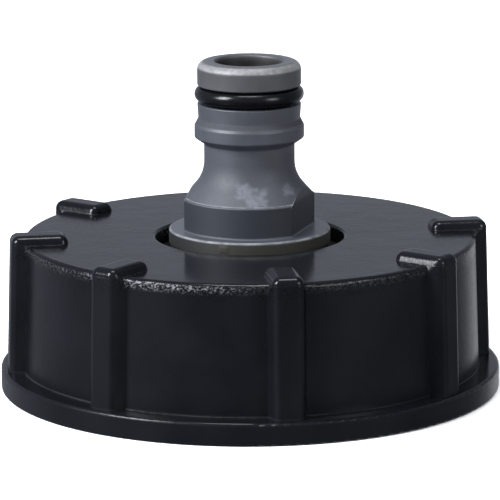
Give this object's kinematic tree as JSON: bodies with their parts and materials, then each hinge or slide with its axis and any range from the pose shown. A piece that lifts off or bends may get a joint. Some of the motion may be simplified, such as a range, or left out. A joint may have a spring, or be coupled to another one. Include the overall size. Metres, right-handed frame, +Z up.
{
  "type": "ibc tap adapter",
  "caption": "Coarse-thread cap nut for a bulk container's outlet, swivelling round a flat-sealed insert that carries a click-on hose spigot.",
  "frame": {"origin": "centre of the cap nut's mouth, on the plane that the adapter stands on", "axes": "+Z up along the adapter's axis through the spigot, -Y the front of the picture, +X to its right"},
  "size_m": [0.0775, 0.0774, 0.0509],
  "materials": {
    "cap_plastic": "moulded, satin skirt with glossier top and ribs",
    "insert_plastic": "moulded, satin",
    "seal_rubber": "matt",
    "washer_rubber": "matt",
    "spigot_plastic": "moulded, satin with pale flow marks",
    "o_ring_rubber": "lightly greased"
  },
  "bodies": {
    "nut": {"cap_nut": "cap_plastic"},
    "insert": {"threaded_insert": "insert_plastic", "tank_seal": "seal_rubber", "spigot_washer": "washer_rubber", "spigot": "spigot_plastic", "nose_o_ring": "o_ring_rubber"}
  },
  "joints": [
    {"name": "nut_swivel", "type": "hinge", "parent": "nut", "child": "insert", "pos_m": [0, 0, 0.0208], "axis": [0, 0, 1], "continuous": true}
  ]
}
